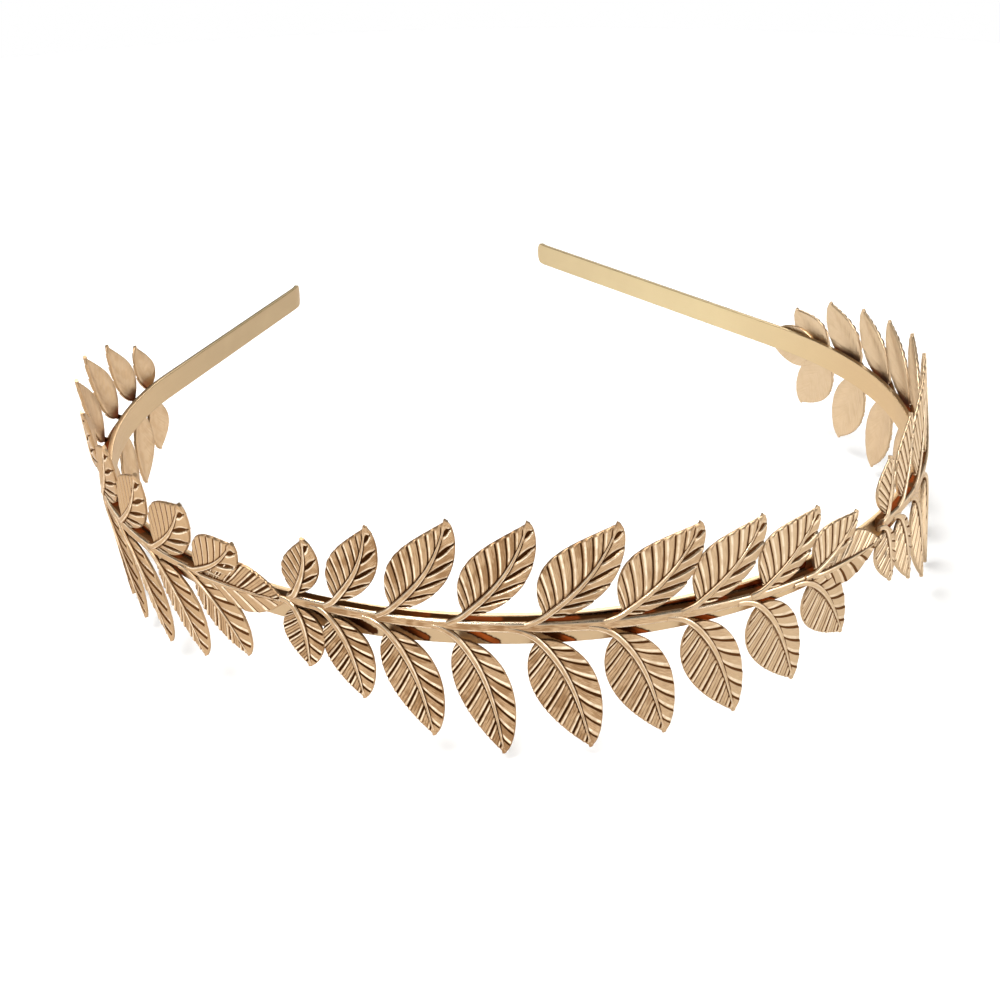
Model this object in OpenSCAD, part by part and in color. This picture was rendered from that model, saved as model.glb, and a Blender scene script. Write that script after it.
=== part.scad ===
// Leaf tiara: a flat spring band, open at the back, and three stamped leaf sprays along its outer face.
// X runs across the forehead, Y to the back of the head and Z up. The lowest leaf tips stand at Z = 0.

/* [Band] */
// Height of the band's flat face
band_h = 4.7; // [3.5:0.1:6]
// Thickness of the band
band_t = 0.9; // [0.6:0.05:1.2]
// Radius of the bend over the forehead, to the middle of the band's thickness
front_r = 71.8; // [70:0.1:80]
// Turn of that bend to each side of its middle, in degrees
front_turn = 60.8; // [56:0.1:64]
// Radius of the bend over each ear
side_r = 65.4; // [60:0.1:70]
// Turn of the bend over each ear, in degrees
side_turn = 59.4; // [55:0.1:62]
// Length of the straight arm on the left
arm_left = 52; // [45:0.5:80]
// Length of the straight arm on the right
arm_right = 73.5; // [45:0.5:80]
// Radius of the small outward curl at each end
curl_r = 9; // [6:0.5:14]
// Turn of the curl, in degrees
curl_turn = 26; // [20:1:40]
// Radius of the band's rounded tips, a little more than half its height
tip_r = 2.7; // [2.5:0.1:3.5]

/* [Sprays] */
// Distance along the band from one spray's first leaf pair to the next spray's
spray_pitch = 97.4; // [97.4:0.1:100]
// Place of the left spray's first leaf pair, measured along the band from the middle of the forehead
first_spray = -141.5; // [-144:0.1:-140]
// Width of the stem where it lies on the band
stem_w = 1.9; // [1.4:0.1:2.4]
// Width of the stem's crest
stem_crest = 0.6; // [0.4:0.1:1]
// Height of the stem's crest over its back
stem_h = 1.5; // [1:0.1:1.8]
// How far the stem runs on before its first joint
stem_over = 0.5; // [0.3:0.1:0.6]
// Gap between the band and the stems that are fixed on it
seat_gap = 0.15; // [0.05:0.05:0.3]

/* [Leaves] */
// Thickness of a leaf
leaf_t = 0.6; // [0.4:0.05:0.7]
// Distance from the band's outer face to the top of the leaves along their midribs
leaf_stand = 1.6; // [1.5:0.05:2.2]
// Drop of a leaf's surface for each millimetre away from its midrib
leaf_fold = 0.12; // [0:0.01:0.15]
// Height of the midrib over the leaf
rib_h = 0.35; // [0:0.05:0.6]
// Height of the veins over the furrows between them
vein_h = 0.3; // [0:0.05:0.4]
// How far the veins sweep forward on their way to the edge, as a share of the blade's length
vein_sweep = 0.2; // [0:0.01:0.3]
// Sideways bow of the midribs above the stem, as a share of the leaf's length
upper_bow = 0.085; // [0:0.005:0.12]
// Sideways bow of the midribs below the stem
lower_bow = 0.095; // [0:0.005:0.12]
// Share of the leaf's length that is stalk
stalk_share = 0.14; // [0.1:0.01:0.2]
// Thickness of the stalk
stalk_d = 1.1; // [0.8:0.1:1.2]
// How far beyond the pair's joint an upper leaf leaves the stem
upper_late = 0.4; // [0:0.1:1]
// How far before the pair's joint a lower leaf leaves it
lower_lead = 0.9; // [0:0.1:3]

/* [Hidden] */
gold = [0.83, 0.66, 0.42];
pale_gold = [0.88, 0.76, 0.53];

// Sprays, one row each: order along the band, lean of the leaves about the stem in degrees,
// height of the stem over the band's mid height at the first leaf pair and at the last leaf's tip
ORDER = 0;
LEAN = 1;
STEM_FROM = 2;
STEM_TO = 3;
LEFT = [0, 7, -0.8, 1.4];
FRONT = [1, 0.5, 2.1, -0.3];
RIGHT = [2, -6, 2.0, -1.2];

// Leaf pairs, one row each: joint's place along the stem, forward reach and height of the upper tip,
// forward reach and depth of the lower tip, width of the upper and of the lower blade, veins to a side
JOINT = 0;
UP_REACH = 1;
UP = 2;
DOWN_REACH = 3;
DOWN = 4;
UP_WIDE = 5;
DOWN_WIDE = 6;
PAIR_VEINS = 7;
PAIRS = [
    [0, 2.7, 10.5, 2.4, 10.8, 6.0, 6.9, 4],
    [5.6, 6.8, 14.3, 5.2, 14.3, 6.9, 7.5, 5],
    [13.4, 10.2, 16.6, 7.5, 19.1, 7.9, 7.9, 5],
    [23.4, 11.1, 16.7, 7.5, 21.6, 8.2, 7.8, 5],
    [34.1, 12.6, 16.0, 9.3, 20.9, 9.3, 9.2, 6],
    [45.0, 13.6, 14.5, 9.4, 20.0, 9.6, 9.1, 6],
    [56.3, 12.4, 13.5, 9.5, 19.1, 8.8, 8.9, 5],
    [67.5, 11.6, 11.9, 9.2, 17.0, 9.2, 9.3, 5],
    [77.7, 10.9, 8.0, 9.8, 12.8, 8.0, 8.8, 4],
];
// The single leaf at the stem's end: start of its stalk, place of its tip, its width and its veins to a side
end_joint = 79;
end_tip = 96.5;
end_wide = 8.8;
end_veins = 5;

// Outline of half a blade: power that places its widest part, power that fills it, and its share of the
// width. The back half of a leaf looks back along the stem, and is the fuller one.
SKEW = 0;
POWER = 1;
SHARE = 2;
UPPER_BACK = [0.75, 1, 1.22];
UPPER_FRONT = [0.95, 0.45, 0.77];
LOWER_BACK = [0.75, 0.87, 1.17];
LOWER_FRONT = [0.97, 0.48, 0.83];
END_HALF = [0.88, 0.85, 1];
// Powers that move a midrib's bow towards its tip or its stalk
upper_bow_skew = 1.1;
lower_bow_skew = 0.75;

// Half width left at a blade's tip, and the ring spacing of the stem
tip_half = 0.35;
stem_end = end_joint + 2;
stem_step = 7;

// Course of the band in plan: s is the distance along it from the middle of the forehead, out the distance
// outwards from the middle of its thickness
front_len = front_r * front_turn * PI / 180;
side_len = side_r * side_turn * PI / 180;
end_turn = front_turn + side_turn;
front_centre = [0, front_r];
side_centre = front_centre + (front_r - side_r) * outward(front_turn);
function outward(turn) = [sin(turn), -cos(turn)];
function ahead(turn) = [cos(turn), sin(turn)];
function half_plan(s, out) =
    s < front_len ? front_centre + (front_r + out) * outward(s / front_len * front_turn) :
    s < front_len + side_len ?
        side_centre + (side_r + out) * outward(front_turn + (s - front_len) / side_len * side_turn) :
    side_centre + (side_r + out) * outward(end_turn) + (s - front_len - side_len) * ahead(end_turn);
function plan(s, out) =
    let (p = half_plan(abs(s), out))
    [s < 0 ? -p.x : p.x, p.y];

// A point of a spray: its place along the stem, its height over the stem and its height over the leaves' top
function spray_start(spray) = first_spray + spray[ORDER] * spray_pitch;
function stem_z(spray, along) = spray[STEM_FROM] + (spray[STEM_TO] - spray[STEM_FROM]) * along / end_tip;
function on_spray(spray, along, up, over) =
    let (lean = spray[LEAN], out = band_t / 2 + leaf_stand + over * cos(lean) + up * sin(lean))
    concat(plan(spray_start(spray) + along, out), stem_z(spray, along) + up * cos(lean) - over * sin(lean));

// A leaf, as a row: start of its stalk, its tip, its width, its veins to a side and the side of the stem,
// which is 1 above it, -1 below it and 0 at its end
FROM = 0;
TIP = 1;
WIDE = 2;
VEINS = 3;
SIDE = 4;
function upper_leaf(p) =
    [[p[JOINT] + upper_late, 0], [p[JOINT] + p[UP_REACH], p[UP]], p[UP_WIDE], p[PAIR_VEINS], 1];
function lower_leaf(p) =
    let (lead = min(lower_lead, p[JOINT] + stem_over / 2))
    [[p[JOINT] - lead, 0], [p[JOINT] + p[DOWN_REACH], -p[DOWN]], p[DOWN_WIDE], p[PAIR_VEINS], -1];
END_LEAF = [[end_joint, 0], [end_tip, 0], end_wide, end_veins, 0];
LEAVES = concat([for (p = PAIRS) upper_leaf(p)], [for (p = PAIRS) lower_leaf(p)], [END_LEAF]);

// A flat leaf: t runs from the start of the stalk to the tip, left is the distance to the left of the midrib
function bow(leaf, t) =
    leaf[SIDE] > 0 ? upper_bow * sin(180 * pow(t, upper_bow_skew)) :
    leaf[SIDE] < 0 ? -lower_bow * sin(180 * pow(t, lower_bow_skew)) : 0;
function leaf_point(leaf, t, left) =
    let (run = leaf[TIP] - leaf[FROM], size = norm(run), normal = [-run.y, run.x] / size)
    leaf[FROM] + run * t + normal * (left - bow(leaf, t) * size);
function half_outline(leaf, left) =
    leaf[SIDE] > 0 ? (left > 0 ? UPPER_BACK : UPPER_FRONT) :
    leaf[SIDE] < 0 ? (left < 0 ? LOWER_BACK : LOWER_FRONT) : END_HALF;
function blade_half(leaf, x, left) =
    let (outline = half_outline(leaf, left),
        fullness = pow(max(0, sin(180 * pow(x, outline[SKEW]))), outline[POWER]))
    max(x < 0.5 ? stalk_d / 2 : tip_half, leaf[WIDE] / 2 * outline[SHARE] * fullness);

// A row of points across a blade follows a vein, or the furrow between two, from the midrib to both edges.
// col is 0 on the midrib, -1 on the right edge and 1 on the left edge.
function row_count(leaf) = 2 * leaf[VEINS];
function relief(leaf, row) = (row % 2 == 1 ? 1 : -1) * vein_h / 2 * sin(180 * row / row_count(leaf));
function blade_point(spray, leaf, row, col, is_top) =
    let (x = row / row_count(leaf), edge_x = x + vein_sweep * sin(180 * x),
        half = blade_half(leaf, edge_x, col),
        mid = leaf_point(leaf, stalk_share + (1 - stalk_share) * x, 0),
        edge = leaf_point(leaf, stalk_share + (1 - stalk_share) * edge_x, sign(col) * half),
        flat = mid + (edge - mid) * abs(col),
        vein = relief(leaf, row) * (abs(col) < 1 ? abs(col) * 2 : 0.6),
        rib = is_top && col == 0 ? rib_h * (1 - x) : 0)
    on_spray(spray, flat.x, flat.y, vein + rib - leaf_fold * half * abs(col) - (is_top ? 0 : leaf_t));

// One blade is a closed shell, with five columns of points on top and three on its back
TOP_COLS = [-1, -0.5, 0, 0.5, 1];
BACK_COLS = [-1, 0, 1];
function two(a, b, c, d) = [[a, b, c], [a, c, d]];
function fan(hub, ring) = [for (k = [0 : len(ring) - 2]) [hub, ring[k], ring[k + 1]]];
module blade(spray, leaf) {
    last = row_count(leaf);
    top_points = [for (row = [0 : last]) for (col = TOP_COLS) blade_point(spray, leaf, row, col, true)];
    back_points = [for (row = [0 : last]) for (col = BACK_COLS) blade_point(spray, leaf, row, col, false)];
    function top_at(row, k) = 5 * row + k;
    function back_at(row, k) = len(top_points) + 3 * row + k;
    top_faces = [for (row = [0 : last - 1]) for (k = [0 : 3])
        for (f = two(top_at(row, k), top_at(row, k + 1), top_at(row + 1, k + 1), top_at(row + 1, k))) f];
    back_faces = [for (row = [0 : last - 1]) for (k = [0 : 1])
        for (f = two(back_at(row, k), back_at(row + 1, k), back_at(row + 1, k + 1), back_at(row, k + 1))) f];
    right_faces = [for (row = [0 : last - 1])
        for (f = two(top_at(row, 0), top_at(row + 1, 0), back_at(row + 1, 0), back_at(row, 0))) f];
    left_faces = [for (row = [0 : last - 1])
        for (f = two(top_at(row + 1, 4), top_at(row, 4), back_at(row, 2), back_at(row + 1, 2))) f];
    base_ring = [for (k = [4 : -1 : 0]) top_at(0, k)];
    tip_ring = [for (k = [0 : 4]) top_at(last, k)];
    base_faces = fan(back_at(0, 1), concat([back_at(0, 2)], base_ring, [back_at(0, 0)]));
    tip_faces = fan(back_at(last, 1), concat([back_at(last, 0)], tip_ring, [back_at(last, 2)]));
    polyhedron(concat(top_points, back_points),
        concat(top_faces, back_faces, right_faces, left_faces, base_faces, tip_faces));
}

// The stalk runs from inside the stem to just inside the blade
stalk_bite = 0.03;
module stalk(spray, leaf) {
    hull() for (t = [0, stalk_share + stalk_bite])
        let (flat = leaf_point(leaf, t, 0))
        translate(on_spray(spray, flat.x, flat.y, -leaf_t / 2)) sphere(d = stalk_d, $fn = 4);
}

// The stem is a ridge that lies along the band with its flat back
module stem(spray) {
    steps = round((stem_end + stem_over) / stem_step);
    section = [[-stem_w / 2, seat_gap], [stem_w / 2, seat_gap],
        [stem_crest / 2, seat_gap + stem_h], [-stem_crest / 2, seat_gap + stem_h]];
    function ring_point(ring, p) =
        let (along = -stem_over + ring * (stem_end + stem_over) / steps,
            flat = plan(spray_start(spray) + along, band_t / 2 + p.y))
        [flat.x, flat.y, stem_z(spray, along) + p.x];
    points = [for (ring = [0 : steps]) for (p = section) ring_point(ring, p)];
    sides = [for (ring = [0 : steps - 1]) for (a = [0 : 3])
        let (from = 4 * ring, b = (a + 1) % 4)
        for (f = two(from + a, from + 4 + a, from + 4 + b, from + b)) f];
    ends = concat(two(0, 1, 2, 3), [for (f = two(3, 2, 1, 0)) f + [1, 1, 1] * 4 * steps]);
    polyhedron(points, concat(sides, ends));
}

module spray(spray) {
    stem(spray);
    for (leaf = LEAVES) {
        stalk(spray, leaf);
        blade(spray, leaf);
    }
}

// The band is one flat strip: a bend over the forehead, then a bend over the ear, a straight arm and a small
// curl to each side. Each stretch starts a little inside the one before and is a hair smaller, so that they
// make one closed solid. A bend turns from the X axis about the origin.
FRONT_STRETCH = 0;
SIDE_STRETCH = 1;
ARM_STRETCH = 2;
CURL_STRETCH = 3;
lap = 0.1;
hair = 0.005;
function section(stretch) = [band_t, band_h] - [2, 2] * stretch * hair;
module bend(r, turn, stretch) {
    early = lap / r * 180 / PI;
    rotate([0, 0, -early]) rotate_extrude(angle = turn + early)
        translate([r, 0] - section(stretch) / 2) square(section(stretch));
}
module curl() {
    tip_turn = asin(tip_r / curl_r);
    difference() {
        bend(curl_r, curl_turn + tip_turn, CURL_STRETCH);
        rotate([0, 0, curl_turn - tip_turn]) difference() {
            translate([0, 0, -band_h]) cube([2 * curl_r, curl_r, 2 * band_h]);
            rotate([0, 90, 0]) cylinder(r = tip_r, h = 2 * curl_r);
        }
    }
}
module half_band(arm) {
    translate(side_centre) rotate([0, 0, front_turn - 90]) bend(side_r, side_turn, SIDE_STRETCH);
    translate(half_plan(front_len + side_len, 0)) rotate([0, 0, end_turn]) {
        translate([-lap, -section(ARM_STRETCH).x / 2, -section(ARM_STRETCH).y / 2])
            cube([arm + lap, section(ARM_STRETCH).x, section(ARM_STRETCH).y]);
        translate([arm, -curl_r, 0]) rotate([0, 0, 90]) mirror([0, 1, 0]) curl();
    }
}

// The whole is drawn about the middle of the forehead, then moved so that its lowest leaf tips stand on the
// floor and the origin is under the middle of its box. The longer arm's curl is what reaches furthest back.
edge_points = [for (s = [LEFT, FRONT, RIGHT]) for (leaf = LEAVES) for (row = [0 : row_count(leaf)])
    for (col = [-1, 1]) for (is_top = [true, false]) blade_point(s, leaf, row, col, is_top)];
box_x = [min([for (p = edge_points) p.x]), max([for (p = edge_points) p.x])];
front_y = min([for (p = edge_points) p.y]);
curl_centre = half_plan(front_len + side_len + max(arm_left, arm_right), curl_r);
curl_way = ahead(end_turn) * sin(curl_turn) - outward(end_turn) * cos(curl_turn);
back_y = curl_centre.y + (curl_r - band_t / 2) * curl_way.y;
floor_z = min([for (p = edge_points) p.z]);
home = -[(box_x[0] + box_x[1]) / 2, (front_y + back_y) / 2, floor_z];

module band() {
    color(pale_gold) translate(home) {
        translate(front_centre) rotate([0, 0, -90 - front_turn]) bend(front_r, 2 * front_turn, FRONT_STRETCH);
        half_band(arm_right);
        mirror([1, 0, 0]) half_band(arm_left);
    }
}
module spray_left() { color(gold) translate(home) spray(LEFT); }
module spray_front() { color(gold) translate(home) spray(FRONT); }
module spray_right() { color(gold) translate(home) spray(RIGHT); }

band();
spray_left();
spray_front();
spray_right();
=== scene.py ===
# %% [markdown]
# # A leaf tiara in gold-coloured metal
# The real tiara is a flat strip of springy metal, bent to go round a head and open at the back. Three
# stamped sprays of leaves are fixed end to end along its outside.
#
# The solids come from the imported frame, which is loaded first. They have the right places and outlines, but
# only plain folds and ridges for veins. So each of the four is replaced by a finer mesh in the same place,
# and gets its metal finish.

# %% Load the frame
import math

import bpy
from mathutils import Matrix, Vector


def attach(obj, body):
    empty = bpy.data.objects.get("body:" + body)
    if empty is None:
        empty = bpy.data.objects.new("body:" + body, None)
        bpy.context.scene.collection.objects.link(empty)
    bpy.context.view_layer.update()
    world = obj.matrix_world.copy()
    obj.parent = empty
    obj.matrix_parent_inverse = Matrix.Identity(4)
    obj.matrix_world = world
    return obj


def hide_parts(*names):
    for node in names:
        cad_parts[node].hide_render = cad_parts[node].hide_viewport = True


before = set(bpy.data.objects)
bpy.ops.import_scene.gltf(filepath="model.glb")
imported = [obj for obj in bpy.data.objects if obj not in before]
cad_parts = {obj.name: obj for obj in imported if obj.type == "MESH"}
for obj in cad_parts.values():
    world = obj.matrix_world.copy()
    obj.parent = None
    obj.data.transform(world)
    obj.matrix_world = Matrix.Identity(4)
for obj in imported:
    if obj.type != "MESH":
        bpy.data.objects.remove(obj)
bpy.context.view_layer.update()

MM = 0.001
print("nodes of the frame:", sorted(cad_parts))

# %% [markdown]
# ## Camera
# The photograph was taken from a little left of the front and from above, with a moderately long lens. A
# camera can be placed by its matrix, but angles round a point inside the tiara say the same in a
# photographer's words: how far to the side, how high, and how far the camera is tilted.

# %% Camera
AIM = Vector((-6.91, -42.09, 21.41)) * MM
DISTANCE = 255.8 * MM
AZIMUTH, ELEVATION, ROLL = math.radians(-9.01), math.radians(26.98), math.radians(0.93)
LENS, SENSOR = 55.84, 36.0
CLIP_START, CLIP_END = 0.01, 50.0

camera_data = bpy.data.cameras.new("camera")
camera_data.lens, camera_data.sensor_width = LENS, SENSOR
camera_data.clip_start, camera_data.clip_end = CLIP_START, CLIP_END
camera = bpy.data.objects.new("camera", camera_data)
bpy.context.scene.collection.objects.link(camera)

to_camera = Vector((
    math.sin(AZIMUTH) * math.cos(ELEVATION),
    -math.cos(AZIMUTH) * math.cos(ELEVATION),
    math.sin(ELEVATION),
))
level = Vector((math.cos(AZIMUTH), math.sin(AZIMUTH), 0))
upright = to_camera.cross(level)
right = level * math.cos(ROLL) - upright * math.sin(ROLL)
up = level * math.sin(ROLL) + upright * math.cos(ROLL)
turn = Matrix((right, up, to_camera)).transposed().to_4x4()
camera.matrix_world = Matrix.Translation(AIM + DISTANCE * to_camera) @ turn
bpy.context.scene.camera = camera
print("camera stands at", [round(c, 4) for c in camera.matrix_world.translation])

# %% [markdown]
# ## The course of the band
# Seen from above, the strip is a wide bend over the forehead, a tighter one over each ear, a straight arm
# and a small outward curl. It could be drawn as a curve, but arcs and a line are what the strip is bent
# from, and they give every place on it exactly. A place is given by the distance `s` along the strip from
# the middle of the forehead, and by the distance `out` from the middle of its thickness. The sprays use the
# same two numbers to lie on it.

# %% Course of the band
# in millimetres and radians: height and thickness of the strip, its bends, arms and curl, and its round tip
BAND_H, BAND_T = 4.7, 0.9
FRONT_R, FRONT_TURN = 71.8, math.radians(60.8)
SIDE_R, SIDE_TURN = 65.4, math.radians(59.4)
ARM_LEFT, ARM_RIGHT = 52.0, 73.5
CURL_R, CURL_TURN = 9.0, math.radians(26)
TIP_R = 2.7
END_TURN = FRONT_TURN + SIDE_TURN
FRONT_LEN, SIDE_LEN = FRONT_R * FRONT_TURN, SIDE_R * SIDE_TURN


def outward(angle):
    """Points straight out of the strip, where it has turned by this angle."""
    return Vector((math.sin(angle), -math.cos(angle)))


def ahead(angle):
    """Points along the strip there."""
    return Vector((math.cos(angle), math.sin(angle)))


FRONT_CENTRE = Vector((0, FRONT_R))
SIDE_CENTRE = FRONT_CENTRE + (FRONT_R - SIDE_R) * outward(FRONT_TURN)


def half_plan(s, out):
    """A place on the right half, seen from above."""
    if s < FRONT_LEN:
        return FRONT_CENTRE + (FRONT_R + out) * outward(s / FRONT_R)
    if s < FRONT_LEN + SIDE_LEN:
        return SIDE_CENTRE + (SIDE_R + out) * outward(FRONT_TURN + (s - FRONT_LEN) / SIDE_R)
    return SIDE_CENTRE + (SIDE_R + out) * outward(END_TURN) + (s - FRONT_LEN - SIDE_LEN) * ahead(END_TURN)


def plan(s, out):
    """A place on either half. On the left half s is below 0."""
    p = half_plan(abs(s), out)
    return Vector((math.copysign(p.x, s), p.y))


HOME = Vector((-0.0262, -83.4355, 21.6628))      # where the middle of the forehead lies in the frame
print("middle of the forehead is at", [round(c, 2) for c in HOME], "mm")

# %% [markdown]
# ## Small helpers for modelling
# Everything below is made as by hand, from a primitive and operators in edit mode. An operator works on all
# that is selected, so a helper deselects first and makes one object the active one. Each mesh could also be
# built from lists of points, but that wouldn't show how a person would model it.


# %% Helpers
def pick(*objects):
    if bpy.context.object and bpy.context.object.mode != "OBJECT":
        bpy.ops.object.mode_set(mode="OBJECT")
    bpy.ops.object.select_all(action="DESELECT")
    for o in objects:
        o.select_set(True)
    bpy.context.view_layer.objects.active = objects[0]


def select_nothing():
    pick(*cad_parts.values())
    bpy.ops.object.select_all(action="DESELECT")


def in_edit_mode(piece, *steps):
    """Runs edit-mode operators on all of a piece. A step is an operator and its settings."""
    pick(piece)
    bpy.ops.object.mode_set(mode="EDIT")
    for operator, settings in steps:
        bpy.ops.mesh.select_all(action="SELECT")
        operator(**settings)
    bpy.ops.object.mode_set(mode="OBJECT")


def join(name, parts):
    pick(*parts)
    if len(parts) > 1:
        bpy.ops.object.join()
    parts[0].name = parts[0].data.name = name
    return parts[0]


def copy_of(piece, name):
    twin = bpy.data.objects.new(name, piece.data.copy())
    bpy.context.scene.collection.objects.link(twin)
    return twin


# %% [markdown]
# ## One way to make a stem, a stalk or a leaf
# Each of them is a skin round a long core. It could be sculpted or displaced from a plain solid, but a
# leaf's veins run slantwise from midrib to edge, and only a mesh whose rows run the same way shows them
# sharply. So a flat grid is rolled into a tube, and every point of the tube is put where the stamping die
# would press it. The rows follow each other from base to tip, and each of them goes once round the section.
# The seam is then merged and both ends are closed. A blank is modelled once and copied for each leaf.
#
# Two values are kept at every point for the finish. `tone` is 1 where a highlight is painted on, 0.5 on
# plain metal, 0 where shade is painted deep in a furrow, and below 0 where a red-brown reflection is
# painted. The UV map gives the scratches their direction and size.


# %% Blanks and pressing
MERGE = 0.5e-6       # points closer than this, in metres, become one
UV_STEP = 31         # moves each leaf's UV map on, so that no two leaves of a spray have the same scratches


def blank(name, rows, columns):
    select_nothing()
    bpy.ops.mesh.primitive_grid_add(x_subdivisions=rows, y_subdivisions=columns, size=1)
    piece = bpy.context.object
    piece.name = name
    piece.data.attributes.new("tone", "FLOAT", "POINT")
    return piece


def press(piece, rows, columns, shape, uv_size, uv_start):
    """Puts each grid point where shape(x, column) says. It returns a point in millimetres and its tone."""
    mesh = piece.data
    tones = mesh.attributes["tone"].data
    for v in mesh.vertices:
        column = round((v.co.y + 0.5) * columns)
        where, tone = shape(round((v.co.x + 0.5) * rows) / rows, column)
        tones[v.index].value = tone
        v.co = where * MM
    for loop in mesh.uv_layers.active.data:
        loop.uv = (loop.uv[0] * uv_size[0] + uv_start, loop.uv[1] * uv_size[1])
    in_edit_mode(
        piece,
        (bpy.ops.mesh.remove_doubles, {"threshold": MERGE}),
        (bpy.ops.mesh.fill_holes, {"sides": 0}),
        (bpy.ops.mesh.normals_make_consistent, {"inside": False}),
    )
    return piece


# %% [markdown]
# ## The leaves
# All three sprays come from one die, so one spray is made flat and then bent three times. X runs along the
# stem, Y up from it, and Z is the height over the leaves' top face. Nine pairs of leaves grow and shrink
# along the stem, and one more leaf ends it. A midrib bows away from the stem, so the half of a blade that
# looks back along the stem is the fuller one. A table of sizes, here in millimetres, is easier to compare
# with a photograph than 19 drawn outlines.

# %% Table of leaves
# joint, forward reach and height of the upper tip, reach and depth of the lower one, widths, veins to a side
PAIRS = [
    (0.0, 2.7, 10.5, 2.4, 10.8, 6.0, 6.9, 5),
    (5.6, 6.8, 14.3, 5.2, 14.3, 6.9, 7.5, 6),
    (13.4, 10.2, 16.6, 7.5, 19.1, 7.9, 7.9, 7),
    (23.4, 11.1, 16.7, 7.5, 21.6, 8.2, 7.8, 7),
    (34.1, 12.6, 16.0, 9.3, 20.9, 9.3, 9.2, 7),
    (45.0, 13.6, 14.5, 9.4, 20.0, 9.6, 9.1, 7),
    (56.3, 12.4, 13.5, 9.5, 19.1, 8.8, 8.9, 6),
    (67.5, 11.6, 11.9, 9.2, 17.0, 9.2, 9.3, 6),
    (77.7, 10.9, 8.0, 9.8, 12.8, 8.0, 8.8, 5),
]
# how far past its joint an upper leaf starts, how far before it a lower one, and how far back the stem goes
UPPER_LATE, LOWER_LEAD, STEM_OVER = 0.4, 0.9, 0.5
END_JOINT, END_TIP, END_WIDE, END_VEINS = 79.0, 96.5, 8.8, 6
STALK_SHARE = 0.14       # the part of a leaf's length that is stalk
# midrib's bow and what skews it; then for each half what places its widest part, what fills it, its share
OUTLINES = {
    1: {"bow": (0.085, 1.1), "back": (0.75, 1, 1.22), "front": (0.95, 0.45, 0.77)},
    -1: {"bow": (0.095, 0.75), "back": (0.75, 0.87, 1.17), "front": (0.97, 0.48, 0.83)},
    0: {"bow": (0, 1), "back": (0.88, 0.85, 1), "front": (0.88, 0.85, 1)},
}


class Leaf:
    """A flat leaf. side is 1 above the stem, -1 below it and 0 at its end."""

    def __init__(self, start, tip, wide, veins, side):
        self.start, self.tip = Vector(start), Vector(tip)
        self.wide, self.veins, self.side = wide, veins, side
        self.run = self.tip - self.start
        self.size = self.run.length
        self.left = Vector((-self.run.y, self.run.x)) / self.size
        self.bow, self.bow_skew = OUTLINES[side]["bow"]

    def at(self, t, left=0.0):
        """A place on the midrib, from 0 at the joint to 1 at the tip, or so far to the left of it."""
        bow = self.side * self.bow * self.size * math.sin(math.pi * max(0, t) ** self.bow_skew)
        return self.start + self.run * t + self.left * (left - bow)

    def on_blade(self, x, left=0.0):
        """The same, but x is 0 where the blade begins."""
        return self.at(STALK_SHARE + (1 - STALK_SHARE) * x, left)

    def half_name(self, left):
        """The back half looks back along the stem."""
        return "back" if (self.side or 1) * left > 0 else "front"


LEAVES = []
for joint, up_reach, up_by, down_reach, down_by, up_wide, down_wide, veins in PAIRS:
    lead = min(LOWER_LEAD, joint + STEM_OVER / 2)
    LEAVES.append(Leaf((joint + UPPER_LATE, 0), (joint + up_reach, up_by), up_wide, veins, 1))
    LEAVES.append(Leaf((joint - lead, 0), (joint + down_reach, -down_by), down_wide, veins, -1))
LEAVES.append(Leaf((END_JOINT, 0), (END_TIP, 0), END_WIDE, END_VEINS, 0))
print(len(LEAVES), "leaves to a spray")

# %% [markdown]
# ## Vein patterns
# The die has four patterns: close ridges with a sharp furrow between them, folds parted by a slit that is
# closed at both ends, hairpins that are closed near the midrib, and steps that first run along the midrib.
# They could be painted as bump, but so deep a stamping changes how the whole leaf catches light from the
# side, so they are real relief.
#
# A pattern looks at one vein: `frac` goes from 0 to 1 across it, and `reach` from 0 on the midrib to 1 on
# the edge. It says how high the metal is there and what tone it has.


# %% Soft steps and lines
PLAIN = 0.5          # the tone of metal that has neither a painted highlight nor painted furrow shade


def smooth(low, high, value):
    """Rises softly from 0 at low to 1 at high."""
    t = min(1, max(0, (value - low) / (high - low)))
    return t * t * (3 - 2 * t)


def line(middle, half, value):
    """Is 1 near the middle and falls softly to 0 at this distance from it."""
    return 1 - smooth(0.4 * half, half, abs(value - middle))


# %% Vein patterns
# The tone of each pattern paints highlights on crests and edges, and shade in furrows, slits and cores.
def close_ridge(frac, reach):
    furrow = 1 - smooth(0.03, 0.13, min(frac, 1 - frac))
    highlight_slope = line(0.3, 0.14, frac)
    return math.sin(math.pi * frac) ** 0.6, PLAIN + 0.42 * highlight_slope - 0.5 * furrow


def slit_fold(frac, reach):
    opened = smooth(0.12, 0.4, reach) * (1 - smooth(0.55, 0.9, reach))
    half = 0.03 + 0.14 * opened**0.5
    slit = 1 - smooth(0.6 * half, half + 0.04, abs(frac - 0.5))
    since_slit = (frac + 0.5) % 1
    land = 0.45 + 0.55 * since_slit * (1 - smooth(0.9, 1, since_slit))
    highlight_edges = line(0.43 - half, 0.09, frac) + 0.6 * line(0.58 + half, 0.09, frac)
    return land * (1 - slit), PLAIN + 0.5 * highlight_edges - 0.5 * slit


def hairpin(frac, reach):
    from_middle = abs(frac - 0.5)
    half = 0.01 + 0.15 * smooth(0.08, 0.24, reach) ** 0.5
    wire = line(half, 0.09, from_middle)
    core = (1 - smooth(0.35 * half, 0.75 * half, from_middle)) * smooth(0.05, 0.12, half)
    furrow = line(half + 0.12, 0.07, from_middle)
    seam = line(0.5, 0.05, from_middle)
    height = 0.5 + 0.5 * wire - 0.4 * core - 0.3 * furrow - 0.15 * seam
    return height, PLAIN + 0.38 * wire - 0.5 * core - 0.3 * furrow - 0.25 * seam


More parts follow.
